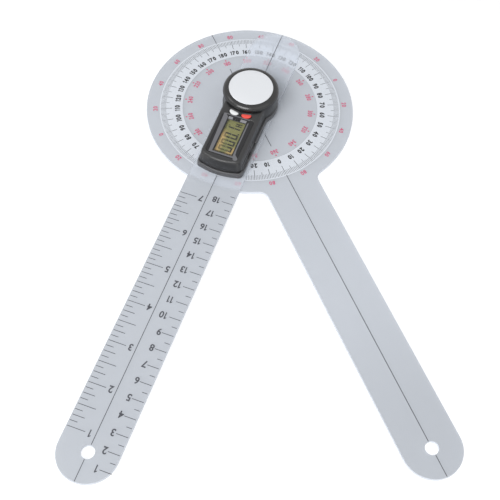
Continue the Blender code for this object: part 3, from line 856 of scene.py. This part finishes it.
class GONIOMETER_OT_head(bpy.types.Operator):
    """Finish the reading head's shells, panel, window and inner pieces"""

    bl_idname = "goniometer.head"
    bl_label = "Reading head"

    def execute(self, context):
        colour = colours().case
        edge = 0.12 * MM
        case = moulded_finish(
            "head_grained_plastic", shade(colour, 0.65), rough=0.34, grain=0.1, shine=0.62, rounding=1.9 * MM)
        # Painted light: the lower shell is painted far paler than the case, standing in for the light its
        # lower lip catches.
        foot_painted_light = moulded_finish(
            "head_base_plastic_painted_light", shade(colour, 3.6), rough=0.38, grain=0.12, shine=0.6, rounding=0.6 * MM)
        film = moulded_finish("head_face_film", shade(colour, 0.9), rough=0.5, grain=0.05, shine=0.3)
        rubber = moulded_finish("connector_grey_rubber", (0.18, 0.18, 0.2), rough=0.7, grain=0.1)
        nylon = moulded_finish("washer_nylon", (0.8, 0.79, 0.74), rough=0.5, grain=0.05)
        spring = metal_finish("spring_nickel", (0.72, 0.69, 0.6), rough=0.3)
        steel = metal_finish("plain_steel", (0.62, 0.62, 0.63), rough=0.32)
        paint(["upper_shell", "battery_tray"], case, edge)
        paint(["lower_shell"], foot_painted_light, edge)
        paint(["face_panel"], film)
        paint(["window_lens"], clear_finish("head_clear_window"))
        paint(["lcd_glass"], display_finish("display_ground"))
        paint(["circuit_board", "encoder_rotor"], board_finish("board_green_laminate"))
        paint(["zebra_strip_1", "zebra_strip_2"], rubber)
        paint(["contact_plus", "contact_minus", "key_dome_1", "key_dome_2", "rotor_clip"], spring)
        paint(["pivot_post", "drive_pin_1", "drive_pin_2", "coin_cell"], steel)
        paint(["case_screw_1", "case_screw_2", "case_screw_3", "case_screw_4"], steel)
        paint(["pivot_bush", "clamp_washer"], nylon)
        return {"FINISHED"}


class GONIOMETER_OT_display(bpy.types.Operator):
    """Draw the display's digits, its dark border, the grey frame round it and the button patches"""

    bl_idname = "goniometer.display"
    bl_label = "Display"

    def execute(self, context):
        ink = segment_finish("display_segments")
        dark = ink_finish("display_border_ink", (0.008, 0.008, 0.009))
        grey = ink_finish("bezel_grey_ink", colours().bezel)
        pale = ink_finish("button_patch_ink", (0.27, 0.27, 0.285))
        z = FACE_TOP + LIFT
        border = [bar(*ends, WINDOW_TOP + LIFT) for ends in DISPLAY_BORDER]
        patches = [bar(*ends, z) for ends in BUTTON_PATCHES]
        piece("display_digits", self.digits(LCD_TOP + LIFT), ink, "arm", ARM)
        piece("display_border", border, dark, "arm", ARM)
        piece("display_frame_print", [flat_mesh(self.frame_outline(), z)], grey, "arm", ARM)
        piece("button_patches", patches, pale, "arm", ARM)
        return {"FINISHED"}

    def digits(self, z):
        """Return the reading's segments with its point and the marks beside it."""
        shapes = []
        bars = segment_outlines(*DIGIT_SIZE)
        for digit, y in zip(scale_settings().reading, DIGIT_PLACES):
            for name in SEGMENTS[digit]:
                slanted = [(u + DIGIT_SLANT * v, v) for u, v in bars[name]]
                shapes.append(flat_mesh([(-v + DIGIT_SHIFT, y + u) for u, v in slanted], z))
        return shapes + [bar(*ends, z) for ends in DISPLAY_MARKS]

    def frame_outline(self):
        """Return the grey frame's outline, with the round flare at one corner."""
        flare = []
        for angle in map(math.radians, FLARE_DEGREES):
            flare.append((FLARE_X + FLARE_RADIUS * math.cos(angle), FLARE_Y + FLARE_RADIUS * math.sin(angle)))
        return [*FRAME_START, *flare, *FRAME_END]


class GONIOMETER_OT_buttons(bpy.types.Operator):
    """Finish the white and the red push button"""

    bl_idname = "goniometer.buttons"
    bl_label = "Buttons"

    def execute(self, context):
        white = moulded_finish("button_white_plastic", (0.88, 0.9, 0.9), rough=0.35, grain=0.03)
        red = moulded_finish("button_red_plastic", (0.86, 0.09, 0.068), rough=0.35, grain=0.03)
        paint(["hold_button"], white)
        paint(["power_button"], red)
        return {"FINISHED"}


class GONIOMETER_OT_knob(bpy.types.Operator):
    """Finish the locking knob, its silver inlay and its nut"""

    bl_idname = "goniometer.knob"
    bl_label = "Lock knob"

    def execute(self, context):
        satin = moulded_finish(
            "knob_satin_plastic", shade(colours().case, 0.4), rough=0.22, grain=0.04, shine=0.62)
        paint(["lock_knob"], satin)
        paint(["knob_disc"], metal_finish("knob_satin_aluminium", (0.79, 0.81, 0.84), rough=0.3))
        paint(["knob_nut"], metal_finish("nut_brass", (0.72, 0.56, 0.28), rough=0.3))
        return {"FINISHED"}


def area_light(name, place, target, size, power):
    """Add a soft lamp of a width and height, aimed at a point."""
    data = bpy.data.lights.new(name, "AREA")
    data.shape = "RECTANGLE"
    data.size, data.size_y = size
    data.energy = power
    lamp = bpy.data.objects.new(name, data)
    bpy.context.scene.collection.objects.link(lamp)
    lamp.location = place
    lamp.rotation_euler = (Vector(target) - Vector(place)).to_track_quat("-Z", "Y").to_euler()


def light_path_mix(tree, camera_shader, other_shader):
    """Return a shader that shows one look to the camera, mirrors and glass, and lights with another."""
    path = tree.nodes.new("ShaderNodeLightPath")
    seen = path.outputs["Is Camera Ray"]
    for ray in ("Is Glossy Ray", "Is Transmission Ray"):
        most = tree.nodes.new("ShaderNodeMath")
        most.operation = "MAXIMUM"
        tree.links.new(seen, most.inputs[0])
        tree.links.new(path.outputs[ray], most.inputs[1])
        seen = most.outputs["Value"]
    mix = tree.nodes.new("ShaderNodeMixShader")
    tree.links.new(seen, mix.inputs["Fac"])
    tree.links.new(other_shader, mix.inputs[1])
    tree.links.new(camera_shader, mix.inputs[2])
    return mix.outputs["Shader"]


class GONIOMETER_OT_stage(bpy.types.Operator):
    """Set the floor, the light and the camera"""

    bl_idname = "goniometer.stage"
    bl_label = "Stage"

    def execute(self, context):
        settings = context.scene.goniometer_stage
        turn = Matrix.Rotation(math.radians(CAMERA_TURN), 4, "Z")
        self.set_world(context, settings)
        self.set_floor(context)
        for name, place, target, size, share in LAMPS:
            area_light(name, turn @ Vector(place), target, size, settings.lamp_power * share)
        self.set_camera(context, settings, turn)
        context.scene.view_settings.view_transform = "Standard"
        return {"FINISHED"}

    def set_world(self, context, settings):
        """Light evenly from all round and show plain white."""
        world = bpy.data.worlds.new("studio_world")
        world.use_nodes = True
        context.scene.world = world
        tree = world.node_tree
        tree.nodes.clear()
        lit, seen = tree.nodes.new("ShaderNodeBackground"), tree.nodes.new("ShaderNodeBackground")
        lit.inputs["Color"].default_value = (0.97, 0.985, 1.0, 1.0)
        lit.inputs["Strength"].default_value = settings.world_light
        seen.inputs["Color"].default_value = (1.0, 1.0, 1.0, 1.0)
        out = tree.nodes.new("ShaderNodeOutputWorld")
        tree.links.new(light_path_mix(tree, seen.outputs[0], lit.outputs[0]), out.inputs["Surface"])

    def set_floor(self, context):
        """Lay a wide floor under the plates that shows white or nearly white."""
        mesh = bpy.data.meshes.new("floor")
        half = FLOOR_HALF
        corners = [(-half, -half), (half, -half), (half, half), (-half, half)]
        mesh.from_pydata([(x, y, -FLOOR_DROP) for x, y in corners], [], [(0, 1, 2, 3)])
        floor = bpy.data.objects.new("floor", mesh)
        context.scene.collection.objects.link(floor)
        made = Finish("floor_white")
        made.set(base_color=(0.9, 0.9, 0.9), roughness=0.9)
        glow = made.add("ShaderNodeEmission")
        made.join(made.spread(made.ramp(made.reach(), 0.5, 1.6), 0.22, 0.62), glow.inputs["Strength"])
        both = made.add("ShaderNodeAddShader")
        made.join(made.shader.outputs[0], both.inputs[0])
        made.join(glow.outputs[0], both.inputs[1])
        surface = light_path_mix(made.material.node_tree, both.outputs[0], made.shader.outputs[0])
        made.join(surface, made.nodes["Material Output"].inputs["Surface"])
        mesh.materials.append(made.material)

    def set_camera(self, context, settings, turn):
        """Stand the camera where the photograph was taken from."""
        data = bpy.data.cameras.new("photo_camera")
        data.lens = settings.lens
        data.sensor_width = SENSOR_WIDTH
        data.clip_start, data.clip_end = 0.01, 20.0
        camera = bpy.data.objects.new("photo_camera", data)
        context.scene.collection.objects.link(camera)
        tilt, roll = math.radians(CAMERA_TILT), math.radians(CAMERA_ROLL)
        level = Vector((1.0, 0.0, 0.0))
        ahead = Vector((0.0, math.cos(tilt), -math.sin(tilt)))
        over = Vector((0.0, math.sin(tilt), math.cos(tilt)))
        right = level * math.cos(roll) + over * math.sin(roll)
        upward = over * math.cos(roll) - level * math.sin(roll)
        offset = upward * CAMERA_UP - right * CAMERA_LEFT - ahead * CAMERA_BACK
        place = (Vector(CAMERA_AIM) + offset) * MM
        facing = Matrix((right, upward, -ahead)).transposed().to_4x4()
        camera.matrix_world = turn @ Matrix.Translation(place) @ facing
        context.scene.camera = camera


class GONIOMETER_PT_panel(bpy.types.Panel):
    """List the goniometer's settings and steps in the sidebar"""

    bl_idname = "GONIOMETER_PT_panel"
    bl_label = "Goniometer"
    bl_space_type = "VIEW_3D"
    bl_region_type = "UI"
    bl_category = "Goniometer"

    def draw(self, context):
        for settings in SETTINGS:
            group = getattr(context.scene, settings)
            for name in group.__annotations__:
                self.layout.prop(group, name)
        for step in OPERATORS:
            self.layout.operator(step.bl_idname)


OPERATORS = (
    GONIOMETER_OT_plates,
    GONIOMETER_OT_dial_print,
    GONIOMETER_OT_ruler_print,
    GONIOMETER_OT_head,
    GONIOMETER_OT_display,
    GONIOMETER_OT_buttons,
    GONIOMETER_OT_knob,
    GONIOMETER_OT_stage,
)
SETTINGS = {
    "goniometer_scale": GoniometerScaleSettings,
    "goniometer_colours": GoniometerColourSettings,
    "goniometer_stage": GoniometerStageSettings,
}


def register():
    """Register the settings, the steps and the sidebar panel."""
    for name, group in SETTINGS.items():
        bpy.utils.register_class(group)
        setattr(bpy.types.Scene, name, bpy.props.PointerProperty(type=group))
    for step in OPERATORS:
        bpy.utils.register_class(step)
    bpy.utils.register_class(GONIOMETER_PT_panel)


def unregister():
    """Remove the sidebar panel, the steps and the settings."""
    bpy.utils.unregister_class(GONIOMETER_PT_panel)
    for step in reversed(OPERATORS):
        bpy.utils.unregister_class(step)
    for name, group in SETTINGS.items():
        delattr(bpy.types.Scene, name)
        bpy.utils.unregister_class(group)


def main():
    """Run every step in order."""
    register()
    for step in OPERATORS:
        group, name = step.bl_idname.split(".")
        getattr(getattr(bpy.ops, group), name)()


if __name__ == "__main__":
    main()
